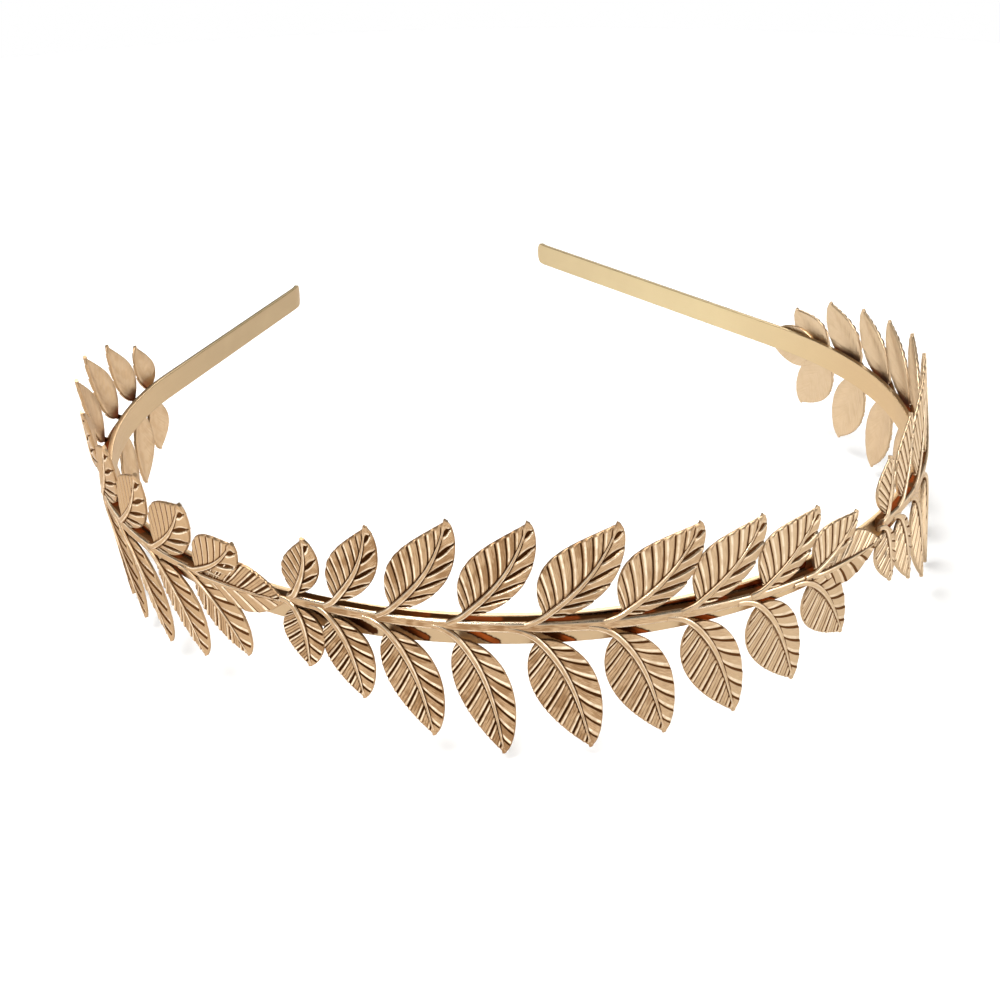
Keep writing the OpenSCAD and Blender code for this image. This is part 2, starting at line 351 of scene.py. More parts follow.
def step(frac, reach):
    riser = smooth(0, 0.1, frac)
    height = (0.9 - 0.5 * frac) * riser + 0.4 * (1 - riser)
    highlight_edge, furrow = line(0.85, 0.15, frac), line(0.06, 0.13, frac)
    return height, PLAIN + 0.5 * highlight_edge - 0.5 * furrow


# %% Veins of each half
# pattern, change to the number of veins, crowding of the veins at the base of the midrib and at the tip of
# the edge, how late a vein turns outwards, height in millimetres
VEINS = {
    (1, "back"): (close_ridge, 3, 1.9, 1.3, 0.85, 0.34),
    (1, "front"): (slit_fold, -1, 1.7, 1.4, 0.9, 0.42),
    (-1, "back"): (hairpin, 0, 1.55, 1.2, 0.9, 0.3),
    (-1, "front"): (step, 1, 1.6, 1.5, 0.6, 0.42),
    (0, "back"): (hairpin, 0, 1.6, 1.3, 0.9, 0.3),
    (0, "front"): (step, 0, 1.6, 1.4, 0.7, 0.36),
}
print("height and tone in the middle of a slit:", [round(v, 2) for v in slit_fold(0.5, 0.48)])

# %% [markdown]
# ## Blades
# A blade is two halves that fall away from a midrib to a thin rounded edge, with the veins pressed into the
# top and a faint print of them on the back. A row of the blank starts on the midrib and sweeps forward to
# the edge, as a vein does. Its section has three parts: columns over the top, which stand closest beside
# the midrib and the rim, a half-round rim on each side, and a few columns under the back.

# %% Section of a blade
TOP_COLUMNS = [1, 0.92, 0.8, 0.67, 0.53, 0.4, 0.28, 0.18, 0.11]
TOP_COLUMNS = [-c for c in TOP_COLUMNS] + [0] + TOP_COLUMNS[::-1]
RIM_ANGLES = [55, 20, -20, -55]
BACK_COLUMNS = [1, 0.6, 0, -0.6, -1]
RING = (
    [("top", c, 0) for c in TOP_COLUMNS]
    + [("rim", 1, math.radians(a)) for a in RIM_ANGLES]
    + [("back", c, 0) for c in BACK_COLUMNS]
    + [("rim", -1, math.radians(-a)) for a in RIM_ANGLES]
)
print("a blade's section has", len(RING), "points")

# %% Widths along a leaf
# a half is never narrower than half of STALK_D before its middle, and than TIP_HALF beyond it
TIP_HALF, STALK_D = 0.35, 1.1
# a midrib starts a little narrower than its stalk, and loses this share of its width up to the tip
STALK_HALF, RIB_NARROWER, RIB_THINS = 0.48, 0.02, 0.7


def half_width(leaf, x, outline):
    skew, power, share = outline
    round_out = max(0.0, math.sin(math.pi * x**skew)) ** power
    return max(STALK_D / 2 if x < 0.5 else TIP_HALF, share * leaf.wide / 2 * round_out)


def rib_half(t):
    """Half the width of a stalk or midrib."""
    at_stalk = STALK_HALF - RIB_NARROWER * smooth(0, STALK_SHARE, t)
    return at_stalk * (1 - RIB_THINS * smooth(STALK_SHARE, 1, t))


print("a midrib is", round(2 * rib_half(STALK_SHARE), 2), "mm wide at first and", round(2 * rib_half(1), 2),
      "mm at the tip")

# %% Shape of a blade
LEAF_T, LEAF_FOLD = 0.6, 0.12                    # thickness, and how steeply a half falls to its edge
RIM_R, RIM_STARTS, MOST_INSET = 0.26, 0.8, 0.45  # the rim starts 0.8 of its radius inside the edge
SERRATION, SERRATION_MIDDLE = 0.022, 0.7         # the edge goes in and out with the height of close ridges
# relief goes up and down from this height of a pattern, and has its full depth on a leaf of this width
RELIEF_MIDDLE, FULL_RELIEF_WIDE = 0.6, 9
RELIEF_ROUND = 0.35                              # the lower, the nearer to base and tip it stays deep
BACK_RELIEF = 0.15                               # the share of the relief that is printed on the back
VEINS_BEGIN, VEINS_END, CLEAR_OF_RIB = (0, 0.04), (0.92, 1), (0.05, 0.16)
RIB_SHADOW, SHADOW_ENDS = 0.35, (0.85, 0.95)     # a dark line beside the midrib, which ends near the tip
RIM_TONE, BACK_TONE = 0.4, 0.66


def blade_shape(leaf):
    def shape(x, column):
        part, across, angle = RING[column % len(RING)]
        reach, side = abs(across), math.copysign(1, across)
        half_name = leaf.half_name(side)
        pattern, more_veins, base_crowd, tip_crowd, late, depth = VEINS[leaf.side, half_name]
        rib_x, edge_x = x**base_crowd, 1 - (1 - x) ** tip_crowd
        height, tone = pattern((leaf.veins + more_veins) * x % 1, reach)
        fade = smooth(*VEINS_BEGIN, x) * (1 - smooth(*VEINS_END, x)) * smooth(*CLEAR_OF_RIB, reach)
        half = half_width(leaf, edge_x, OUTLINES[leaf.side][half_name])
        if pattern is close_ridge:
            half += SERRATION * half * (height - SERRATION_MIDDLE) * math.sin(math.pi * x)
        inner = reach * (1 - min(MOST_INSET, RIM_R * RIM_STARTS / half))
        blade_x = rib_x + (edge_x - rib_x) * inner**late
        flat = leaf.on_blade(blade_x, side * half * inner)
        full_relief = depth * leaf.wide / FULL_RELIEF_WIDE * fade * math.sin(math.pi * x) ** RELIEF_ROUND
        relief = full_relief * (height - RELIEF_MIDDLE)
        fall = LEAF_FOLD * half * reach
        top, under = relief - fall, BACK_RELIEF * relief - fall - LEAF_T
        if part == "rim":
            centre, radius = (top + under) / 2, (top - under) / 2
            edge = leaf.on_blade(edge_x, side * half)
            flat = flat + (edge - flat) * math.cos(angle)
            return Vector((*flat, centre + radius * math.sin(angle))), RIM_TONE
        if part == "back":
            return Vector((*flat, under)), BACK_TONE
        rib_edge = rib_half(STALK_SHARE + (1 - STALK_SHARE) * blade_x)
        out_of_shadow = smooth(rib_edge, rib_edge + RIB_SHADOW, reach * half)
        lit = max(out_of_shadow, smooth(*SHADOW_ENDS, x))
        return Vector((*flat, top)), (PLAIN + (tone - PLAIN) * fade) * lit

    return shape


# %% Blades
BLADE_ROWS = 126
ROUND_BLADE = 2.2        # the way round a blade's section, in widths of the leaf

blade_blank = blank("blade_blank", BLADE_ROWS, len(RING))
blades = []
for number, leaf in enumerate(LEAVES):
    blade = copy_of(blade_blank, f"blade_{number}")
    uv_size = leaf.size, ROUND_BLADE * leaf.wide
    blades.append(press(blade, BLADE_ROWS, len(RING), blade_shape(leaf), uv_size, UV_STEP * number))
bpy.data.objects.remove(blade_blank)
print("one blade has", len(blades[6].data.polygons), "faces")

# %% [markdown]
# ## Stalks and midribs
# A stalk leaves the stem almost along it, turns outwards and runs on as the midrib, getting thinner up to
# the tip. It is one ridge with a flattened top. It could be raised out of the blade's own mesh, but its
# edges would then follow the slanting rows, so it is one tapered rod that sinks into the blade.

# %% Shape of a rib
RIB_ROWS, RIB_COLUMNS = 36, 14
RIB_END = 0.96                                   # where on the midrib the rod ends
STALK_TOP, RIB_TOP, TIP_TOP = 0.12, 0.36, 0.06   # height of the rod's top along its way
STALK_FOOT, RIB_FOOT = -0.75, -0.42              # and of its underside
FLAT_TOP = 0.7                                   # 1 gives a round section, and less a squarer one
STALK_BACK = {1: 0.5, -1: 1.4}                   # how far before its leaf a stalk leaves the stem
STALK_RISE, STALK_BEND = 0.3, 0.5
NEARBY = 0.01                                    # a small step along the rod, to find its direction
TOP_TONE, SHOULDER_TONE = 0.6, 0.4


def rib_path(leaf, t):
    """The middle of the rod. A stalk is a bend from near the stem to the midrib's first direction."""
    if t >= STALK_SHARE or leaf.side == 0:
        return leaf.at(t)
    start = leaf.start + Vector((-STALK_BACK[leaf.side], STALK_RISE * leaf.side))
    end = leaf.at(STALK_SHARE)
    onward = (leaf.at(STALK_SHARE + 2 * NEARBY) - end).normalized()
    corner = end - onward * STALK_BEND * (end - start).length
    u = t / STALK_SHARE
    return start * (1 - u) ** 2 + corner * 2 * u * (1 - u) + end * u * u


def rib_shape(leaf):
    def shape(x, column):
        t = RIB_END * x
        here = rib_path(leaf, t)
        along = (rib_path(leaf, min(t + NEARBY, 1)) - rib_path(leaf, max(t - NEARBY, 0))).normalized()
        on_blade, taper = smooth(0, STALK_SHARE, t), smooth(STALK_SHARE, 1, t)
        top = STALK_TOP + (RIB_TOP - STALK_TOP) * on_blade - (RIB_TOP - TIP_TOP) * taper
        foot = STALK_FOOT + (RIB_FOOT - STALK_FOOT) * on_blade
        angle = 2 * math.pi * column / RIB_COLUMNS
        across, rise = math.cos(angle), math.sin(angle)
        across = math.copysign(abs(across) ** FLAT_TOP, across)
        rise = math.copysign(abs(rise) ** FLAT_TOP, rise)
        flat = here + Vector((-along.y, along.x)) * rib_half(t) * across
        # the top is painted lighter, with a painted highlight on its shoulders, and the underside is painted
        # as shade
        shoulder = SHOULDER_TONE * line(0.72, 0.35, abs(across)) * smooth(0, 1, rise)
        tone = TOP_TONE * smooth(0.2, 0.8, rise) + shoulder
        return Vector((*flat, (top + foot) / 2 + (top - foot) / 2 * rise)), tone

    return shape


# %% Ribs
RIB_UV = 0.08, 40        # the scratches run along a rod: little of the UV map along it and much round it

rib_blank = blank("rib_blank", RIB_ROWS, RIB_COLUMNS)
ribs = []
for number, leaf in enumerate(LEAVES):
    rib = copy_of(rib_blank, f"rib_{number}")
    uv_size = RIB_UV[0] * leaf.size, RIB_UV[1]
    ribs.append(press(rib, RIB_ROWS, RIB_COLUMNS, rib_shape(leaf), uv_size, UV_STEP * number))
bpy.data.objects.remove(rib_blank)
flat_leaves = join("flat_leaves", blades + ribs)
print("the flat leaves have", len(flat_leaves.data.polygons), "faces")

# %% [markdown]
# ## The stem
# The stem is a low ridge with a flat back, which lies on the band. Its crest is flat with rounded shoulders
# and its flanks are steep. It gets thinner towards the last leaf and ends inside that leaf's base. A
# bevelled bar would do for the shape, but a blank like those of the leaves also carries the tones: painted
# highlights on the shoulders, painted shade on the flanks, and a painted red-brown reflection on the upper
# flank past each stalk.

# %% Stem
SEAT_GAP, STEM_H, STEM_W = 0.15, 1.5, 1.9        # the gap to the band stands for the solder
LEAF_STAND = 1.6                                 # the leaves' top face stands so far out from the band
STEM_END = END_JOINT + 2
STEM_ROWS = 140
STEM_UV = 0.08, 60
STEM_SECTION = [(-1, 0), (-1, 0.35), (-0.97, 0.62), (-0.88, 0.84), (-0.72, 0.96), (-0.4, 1), (0, 1.01),
                (0.4, 1), (0.72, 0.96), (0.88, 0.84), (0.97, 0.62), (1, 0.35), (1, 0)]
STEM_BACK = BAND_T / 2 + SEAT_GAP - (BAND_T / 2 + LEAF_STAND)
# the share by which the stem gets narrower and lower, and from where on
NARROWER, NARROWER_FROM, LOWER, LOWER_FROM = 0.25, 0.6, 0.12, 0.8
NARROW_START, START_ENDS = 0.75, (-0.01, 0.012)      # how narrow its very start is, and where that ends
RED_PLACE, RED_HALF = 4.5, 4.0       # middle of a painted red-brown reflection past its joint, and half its length


def stem_shape(x, column):
    across, rise = STEM_SECTION[column % len(STEM_SECTION)]
    along = -STEM_OVER + x * (STEM_END + STEM_OVER)
    thin = 1 - NARROWER * smooth(NARROWER_FROM, 1, x)
    thin *= NARROW_START + (1 - NARROW_START) * smooth(*START_ENDS, x)
    height = rise * STEM_H * (1 - LOWER * smooth(LOWER_FROM, 1, x))
    # painted highlights on the crest's shoulders, and painted shade on the flanks below the crest
    crest = smooth(0.6, 0.95, rise)
    tone = 0.5 * crest + 0.5 * line(0.8, 0.2, abs(across)) * crest
    # a painted red-brown reflection on the upper flank past each stalk
    if across > 0:
        reflection_past_stalk = max(line(joint + RED_PLACE, RED_HALF, along) for joint, *_ in PAIRS)
        tone -= reflection_past_stalk * (1 - smooth(0.6, 0.9, rise))
    return Vector((along, across * STEM_W / 2 * thin, STEM_BACK + height)), tone


stem = blank("flat_stem", STEM_ROWS, len(STEM_SECTION))
press(stem, STEM_ROWS, len(STEM_SECTION), stem_shape, (STEM_UV[0] * STEM_END, STEM_UV[1]), 0)
print("the stem has", len(stem.data.polygons), "faces")

# %% [markdown]
# ## Bending the sprays onto the band
# The flat stamping is copied three times, and each copy is bent round its own stretch of the band. On the
# real tiara the sprays sit a little askew: their stems climb or fall along the band, and their leaves lean
# in or out. A Simple Deform modifier bends round one arc only, and the band has several, so each point is
# carried over by the same formula as in the solids: its X becomes a distance along the band.

# %% Bend three sprays
SPRAY_PITCH, FIRST_SPRAY = 97.4, -141.5
SPRAY_SHARP = math.radians(60)       # an edge sharper than this stays an edge
# order along the band, lean of the leaves, height of the stem at the first pair and at the last leaf's tip
SPRAYS = {
    "left": (0, math.radians(7), -0.8, 1.4),
    "front": (1, math.radians(0.5), 2.1, -0.3),
    "right": (2, math.radians(-6), 2.0, -1.2),
}


def bend(piece, spray, lean):
    order, _, stem_from, stem_to = spray
    start = FIRST_SPRAY + order * SPRAY_PITCH
    for v in piece.data.vertices:
        along, up_by, over = v.co / MM
        out = BAND_T / 2 + LEAF_STAND + over * math.cos(lean) + up_by * math.sin(lean)
        flat = plan(start + along, out)
        stem_z = stem_from + (stem_to - stem_from) * along / END_TIP
        z = stem_z + up_by * math.cos(lean) - over * math.sin(lean)
        v.co = (Vector((flat.x, flat.y, z)) + HOME) * MM
    return piece


sprays = {}
for place, spray in SPRAYS.items():
    bent_leaves = bend(copy_of(flat_leaves, "bent_leaves"), spray, spray[1])
    bent_stem = bend(copy_of(stem, "bent_stem"), spray, 0)
    sprays[place] = join(f"leaf_spray_{place}", [bent_leaves, bent_stem])
    in_edit_mode(sprays[place], (bpy.ops.mesh.normals_make_consistent, {"inside": False}))
    pick(sprays[place])
    bpy.ops.object.shade_smooth_by_angle(angle=SPRAY_SHARP)
    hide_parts(f"spray_{place}")
    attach(sprays[place], "root")
    print(place, "spray:", sum(len(p.vertices) - 2 for p in sprays[place].data.polygons), "triangles")
for flat_piece in (flat_leaves, stem):
    bpy.data.objects.remove(flat_piece)

# %% [markdown]
# ## The band
# The real band is a strip cut from sheet, with broken corners, round ends and a small curl at each end. A
# curve with a bevel profile would give the strip, but not its round ends. So its section, a small rectangle
# with the corners bevelled, is spun over the forehead, spun again over the ear, extruded along the arm and
# spun outwards into the curl. The last rings are then drawn in to the round tip. The left half is made in
# the same way with its shorter arm, and mirrored.
#
# A new mesh is selected as a whole, and entering edit mode spreads the selection from edges and faces to
# their points. So for the corners everything is deselected in edit mode first, and only then are points
# chosen by their place.

# %% Ends of half a band
TIP_TURN = math.asin(TIP_R / CURL_R)
TIP_END = 0.12           # height of the flat end of the tip, as a share of the strip's
PAST_END = 1.1           # a little further round the curl than its end
ON_FACE = 0.49           # beyond this share of the strip's height or thickness is one of its faces
AT_START = 1e-6


def edit_where(piece, chosen):
    """Goes into edit mode with only those points selected whose place is chosen, and the faces they frame."""
    pick(piece)
    bpy.ops.object.mode_set(mode="EDIT")
    bpy.ops.mesh.select_all(action="DESELECT")
    bpy.ops.object.mode_set(mode="OBJECT")
    for v in piece.data.vertices:
        v.select = chosen(v.co)
    bpy.ops.object.mode_set(mode="EDIT")


def round_tip(piece, curl_centre):
    """Draws the last rings in, so that the tip is part of a circle of TIP_R when seen from the side."""
    for v in piece.data.vertices:
        p = Vector((v.co.x, v.co.y)) / MM - curl_centre
        if abs(p.length - CURL_R) > BAND_T:
            continue
        turned = math.atan2(p.dot(ahead(END_TURN)), -p.dot(outward(END_TURN)))
        if CURL_TURN - TIP_TURN < turned < PAST_END * CURL_TURN:
            into_tip = CURL_R * math.sin(turned - CURL_TURN + TIP_TURN)
            half = math.sqrt(max(0.0, TIP_R**2 - into_tip**2))
            v.co.z *= min(1, max(TIP_END, half / (BAND_H / 2)))


def open_start(piece):
    """Takes away the faces in the middle of the forehead, where the two halves meet."""
    edit_where(piece, lambda place: abs(place.x) < AT_START)
    bpy.ops.mesh.delete(type="FACE")
    bpy.ops.object.mode_set(mode="OBJECT")


# %% Both halves of the band
BREAK, BREAK_STEPS = 0.13, 3
BAND_ROWS, SPIN_STEPS, CURL_STEPS, TIP_STEPS = 16, 160, 10, 20


def spin_end(steps, turn, centre):
    """Spins the selected end. turn is counter-clockwise from above, which is minus for the operator."""
    bpy.ops.mesh.spin(steps=steps, angle=-turn, center=(*(centre * MM), 0), axis=(0, 0, 1))


def half_band(name, arm):
    select_nothing()
    bpy.ops.mesh.primitive_grid_add(
        x_subdivisions=BAND_ROWS, y_subdivisions=1, size=1, rotation=(0, math.pi / 2, 0)
    )
    bpy.ops.object.transform_apply(location=True, rotation=True, scale=True)
    piece = bpy.context.object
    piece.name = name
    for v in piece.data.vertices:
        v.co = Vector((0, v.co.y * BAND_T, v.co.z * BAND_H)) * MM
    edit_where(piece, lambda place: abs(place.z) > ON_FACE * BAND_H * MM)
    bpy.ops.mesh.bevel(offset=BREAK * MM, segments=BREAK_STEPS, affect="VERTICES")
    bpy.ops.mesh.select_all(action="SELECT")
    spin_end(SPIN_STEPS, FRONT_TURN, FRONT_CENTRE)
    spin_end(SPIN_STEPS, SIDE_TURN, SIDE_CENTRE)
    bpy.ops.mesh.extrude_region()
    bpy.ops.transform.translate(value=(*(ahead(END_TURN) * arm * MM), 0))
    curl_centre = half_plan(FRONT_LEN + SIDE_LEN + arm, CURL_R)
    spin_end(CURL_STEPS, TIP_TURN - CURL_TURN, curl_centre)
    spin_end(TIP_STEPS, -TIP_TURN, curl_centre)
    bpy.ops.object.mode_set(mode="OBJECT")
    round_tip(piece, curl_centre)
    open_start(piece)
    return piece


right_half = half_band("band_right", ARM_RIGHT)
left_half = half_band("band_left", ARM_LEFT)
for v in left_half.data.vertices:
    v.co.x = -v.co.x
band = join("metal_band", [right_half, left_half])
print("both halves of the band have", len(band.data.polygons), "faces")

# %% [markdown]
# ## Painted shade in the crevices between the band and the leaves
# The strip above a stem and the band just beside a lower leaf's stalk lie in shade, so shade is painted
# there, dark, and in places a red-brown reflection of the leaves. Plain noise can't draw such crevices,
# because they follow the sprays. So for each point of the outer face a value is kept that says how far
# inside a crevice it lies, in millimetres, and the finish draws the edge from that. The strip's rows and
# steps are fine enough to keep the edge smooth.

# %% Depth in a crevice
# where the crevice beside a lower stalk starts and ends: along from the joint, and above the stem's middle
BESIDE_STALK = Vector((1.7, -0.9)), Vector((6.6, -3.3))
CREVICE_HALF = 0.62
FAR_OUTSIDE = -1


def place_on_band(point):
    """The distance along the band of a point, and how far outside the middle of the strip it is."""
    p = Vector((abs(point.x), point.y))
    round_front = math.atan2(*((p - FRONT_CENTRE) * Vector((1, -1))))
    round_side = math.atan2(*((p - SIDE_CENTRE) * Vector((1, -1))))
    if round_front < FRONT_TURN:
        s, out = FRONT_R * round_front, (p - FRONT_CENTRE).length - FRONT_R
    elif round_side < END_TURN:
        s, out = FRONT_LEN + SIDE_R * (round_side - FRONT_TURN), (p - SIDE_CENTRE).length - SIDE_R
    else:
        s, out = FRONT_LEN + SIDE_LEN + (p - SIDE_CENTRE).dot(ahead(END_TURN)), 0
    return math.copysign(s, point.x), out


def depth_in_crevice(s, z):
    """The distance to a crevice's edge: above 0 inside the crevice and below 0 outside it."""
    for order, _, stem_from, stem_to in SPRAYS.values():
        along = s - FIRST_SPRAY - order * SPRAY_PITCH
        if 0 < along < END_JOINT:
            above = z - stem_from - (stem_to - stem_from) * along / END_TIP
            depths = [above - STEM_W / 2]
            for joint, *_ in PAIRS:
                start, end = (Vector((joint, 0)) + corner for corner in BESIDE_STALK)
                t = (Vector((along, above)) - start).dot(end - start) / (end - start).length_squared
                nearest = start + (end - start) * min(1, max(0, t))
                depths.append(CREVICE_HALF - (Vector((along, above)) - nearest).length)
            return max(depths)
    return FAR_OUTSIDE


# %% Crevices, and the band in its place
BAND_SHARP = math.radians(35)

crevice = band.data.attributes.new("crevice", "FLOAT", "POINT").data
for v in band.data.vertices:
    s, out = place_on_band(v.co / MM)
    on_outer_face = out > ON_FACE * BAND_T
    crevice[v.index].value = depth_in_crevice(s, v.co.z / MM) if on_outer_face else FAR_OUTSIDE
    v.co += HOME * MM
print(sum(c.value > 0 for c in crevice), "of", len(crevice), "points of the band lie in a crevice")
in_edit_mode(
    band,
    (bpy.ops.mesh.remove_doubles, {"threshold": MERGE}),
    (bpy.ops.mesh.normals_make_consistent, {"inside": False}),
)
pick(band)
bpy.ops.object.shade_smooth_by_angle(angle=BAND_SHARP)
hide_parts("band")
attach(band, "root")
print("the band has", len(band.data.polygons), "faces")

# %% [markdown]
# ## Writing materials as sums
# A material is a network of nodes. Wired one by one it is hard to read, so here it is written as Python
# expressions: `Signal` wraps an output socket and its operators add Math nodes, and `Finish.node` adds any
# other node.


# %% Signal
class Signal:
    def __init__(self, finish, socket):
        self.finish, self.socket = finish, socket

    def maths(self, operation, *values):
        return self.finish.node("ShaderNodeMath", {"operation": operation}, dict(enumerate(values)))

    def __add__(self, other):
        return self.maths("ADD", self, other)

    def __sub__(self, other):
        return self.maths("SUBTRACT", self, other)

    def __rsub__(self, other):
        return self.maths("SUBTRACT", other, self)

    def __mul__(self, other):
        return self.maths("MULTIPLY", self, other)

    __radd__, __rmul__ = __add__, __mul__


# %% Finish
class Finish:
    def __init__(self, name, **constants):
        self.material = bpy.data.materials.new(name)
        self.material.use_nodes = True
        self.tree = self.material.node_tree
        self.shader = self.tree.nodes["Principled BSDF"]
        for socket, value in constants.items():
            self.shader.inputs[socket.replace("_", " ")].default_value = value

    def node(self, kind, settings=None, inputs=None, output=0):
        made = self.tree.nodes.new(kind)
        for key, value in (settings or {}).items():
            setattr(made, key, value)
        for key, value in (inputs or {}).items():
            if isinstance(value, Signal):
                self.tree.links.new(value.socket, made.inputs[key])
            else:
                made.inputs[key].default_value = value
        return Signal(self, made.outputs[output])

    def attribute(self, name):
        """A value that is kept at the points of the mesh."""
        return self.node("ShaderNodeAttribute", {"attribute_name": name}, {}, 2)

    def part(self, vector, axis):
        """One of the three numbers of a vector."""
        return self.node("ShaderNodeSeparateXYZ", {}, {"Vector": vector}, axis)

    def between(self, low, high, value):
        """Rises softly from 0 at low to 1 at high."""
        return self.node("ShaderNodeMapRange", {"interpolation_type": "SMOOTHSTEP"},
                         {"Value": value, "From Min": low, "From Max": high})

    def mix(self, factor, first, second):
        """Inputs 6 and 7 of the node take the two colours, and output 2 gives the mixed one."""
        colours = [c if isinstance(c, Signal) else (*c, 1) for c in (first, second)]
        return self.node("ShaderNodeMix", {"data_type": "RGBA"},
                         {0: factor, 6: colours[0], 7: colours[1]}, 2)

    def noise(self, vector, scale, detail=3.0):
        return self.node("ShaderNodeTexNoise", {}, {"Vector": vector, "Scale": scale, "Detail": detail})

    def stretched(self, vector, by):
        return self.node("ShaderNodeVectorMath", {"operation": "MULTIPLY"}, {0: vector, 1: by})

    def feed(self, socket, value):
        self.tree.links.new(value.socket, self.shader.inputs[socket])

    def bump(self, height, strength, depth):
        self.feed("Normal", self.node("ShaderNodeBump", {},
                                      {"Height": height, "Strength": strength, "Distance": depth}))


# %% Shared by both metals
UV_OUTPUT, OBJECT_OUTPUT = 2, 3      # of the Texture Coordinate node
X_AXIS, Y_AXIS, Z_AXIS = 0, 1, 2
BUMP_DEPTH = 0.00005
# where the painted shade in crevices turns black from left to right in metres, and where it stops being black
BLACK_COMES, BLACK_GOES = (-0.052, -0.044), (-0.03, -0.018)


def where_shade_is_black(finish, to_right):
    return finish.between(*BLACK_COMES, to_right) * (1 - finish.between(*BLACK_GOES, to_right))


# %% [markdown]
# ## Stamped gold leaf metal
# The leaves are plated metal. Light and shade of the relief are painted into their colour: a painted
# highlight on crests and edges, tan where the metal is plain, and painted shade, dark brown and dull, in the
# furrows. A mask could be had from Pointiness, but that depends on how fine the mesh is. The pressed `tone`
# says the same and is exact.
#
# The finish changes round the tiara. The leaves left of the middle are tarnished in patches, and the
# painted shade in the crevices there is almost black. Further right the leaves are paler and their painted
# highlights weaker. Elsewhere a red-brown reflection is painted on the stem's upper flank. Fine scratches run
# with the veins, and slow noises in colour and gloss keep the faces from looking like plastic.

# %% Marks on the leaf metal
LEAF_TINT = (0.75, 0.67, 0.59, 1)
SCRATCH_STRETCH = (9.0, 0.7, 1.0)
CLOUDS, SPECKLES, GLINTS = 260.0, 4200.0, 700.0      # scales of noise: more is finer
# where tarnish comes and goes from left to right in metres; where it goes, the painted highlights get weaker
TARNISH_COMES, TARNISH_GOES = (-0.055, -0.035), (-0.012, 0.034)

leaf_metal = Finish("leaf_metal", Metallic=1.0, Specular_Tint=LEAF_TINT)
tone = leaf_metal.attribute("tone")
leaf_uv = leaf_metal.node("ShaderNodeTexCoord", output=UV_OUTPUT)
place = leaf_metal.node("ShaderNodeTexCoord", output=OBJECT_OUTPUT)
to_right = leaf_metal.part(place, X_AXIS)
scratches = leaf_metal.noise(leaf_metal.stretched(leaf_uv, SCRATCH_STRETCH), 1.0, 4.0)
cloud = leaf_metal.noise(place, CLOUDS)
speckle = leaf_metal.noise(place, SPECKLES, 2.0)
further_right = leaf_metal.between(*TARNISH_GOES, to_right)
tarnish = leaf_metal.between(*TARNISH_COMES, to_right) * (1 - further_right)
print("the marks on the leaf metal take", len(leaf_metal.tree.nodes), "nodes")

# %% Leaf metal
# the brightest gold is a painted highlight, the furrow browns are painted shade, and the red-brown is a
# painted reflection between parts
GOLD, PALER_GOLD, HIGHLIGHT_GOLD = (0.475, 0.315, 0.178), (0.542, 0.4, 0.254), (0.86, 0.72, 0.54)
TARNISHED_GOLD = (0.25, 0.135, 0.06)
FURROW_SHADE, SOFT_FURROW_SHADE = (0.055, 0.018, 0.004), (0.14, 0.056, 0.018)
RED_BROWN_REFLECTION = (0.27, 0.058, 0.011)
LEAVES_GET_PALER = (-0.02, 0.055)
# the tones over which the painted red-brown reflection, painted furrow shade and patches end, and over which
# the painted highlight begins
RED_ENDS, FURROW_ENDS, PATCHES_END, HIGHLIGHT_BEGINS = (-0.6, -0.2), (0.08, 0.45), (0.52, 0.6), (0.55, 0.95)
DULL, OPEN_GLOSS, HIGHLIGHT_GLOSS = 0.75, 0.37, 0.18    # roughness of a furrow, and what the others take off it

patches = leaf_metal.between(0.45, 0.62, cloud) * (1 - leaf_metal.between(*PATCHES_END, tone))
brushed = leaf_metal.between(0.42, 0.66, scratches + patches * tarnish * 0.18) * (0.2 + tarnish * 0.72)
paler = leaf_metal.mix(leaf_metal.between(*LEAVES_GET_PALER, to_right), GOLD, PALER_GOLD)
plain = leaf_metal.mix(brushed, paler, TARNISHED_GOLD)
# the stem's upper flank: painted shade that is black on the left, and a painted red-brown reflection
# elsewhere
flank = leaf_metal.mix(where_shade_is_black(leaf_metal, to_right), RED_BROWN_REFLECTION, FURROW_SHADE)
furrow = leaf_metal.mix(tarnish, SOFT_FURROW_SHADE, FURROW_SHADE)
furrow = leaf_metal.mix(leaf_metal.between(*RED_ENDS, tone), flank, furrow)
# a painted highlight, broken into glints and weaker further right
glint = leaf_metal.between(0.35, 0.6, leaf_metal.noise(place, GLINTS, 1.0))
painted_highlight = leaf_metal.between(*HIGHLIGHT_BEGINS, tone) * (0.45 + glint * 0.5) * (1 - further_right * 0.4)
open_metal = leaf_metal.between(*FURROW_ENDS, tone)
shade_and_plain = leaf_metal.mix(open_metal, furrow, plain)
leaf_metal.feed("Base Color", leaf_metal.mix(painted_highlight, shade_and_plain, HIGHLIGHT_GOLD))
roughness = DULL - open_metal * OPEN_GLOSS - painted_highlight * HIGHLIGHT_GLOSS
leaf_metal.feed("Roughness", roughness + (scratches - 0.5) * 0.14 + (cloud - 0.5) * 0.1)
leaf_metal.bump(scratches * 0.7 + speckle * 0.3, 0.3, BUMP_DEPTH)
for spray in sprays.values():
    spray.data.materials.clear()
    spray.data.materials.append(leaf_metal.material)
print("leaf metal has", len(leaf_metal.tree.nodes), "nodes")

# %% [markdown]
# ## Satin band metal
# The strip is softer in its shine than the leaves, with a fine grain along it from rolling. It is tan at
# the front and gets paler to the right, and its right arm is painted as lit and its left one as shaded. The
# narrow faces of the arms are coloured darker. In the crevices that were measured above, shade is painted
# dark brown, and in places a red-brown reflection of the leaves further inside. The grain could follow a UV
# map, but the band lies level, so noise that is squeezed along Z already gives lines that run along the
# strip all the way round.

# %% Marks on the band metal
BAND_TINT = (0.85, 0.77, 0.68, 1)
ROLLED_STRETCH = (60.0, 60.0, 5000.0)
BAND_CLOUDS, BAND_SPECKLES, RED_PATCHES = 120.0, 2600.0, 170.0       # scales of noise

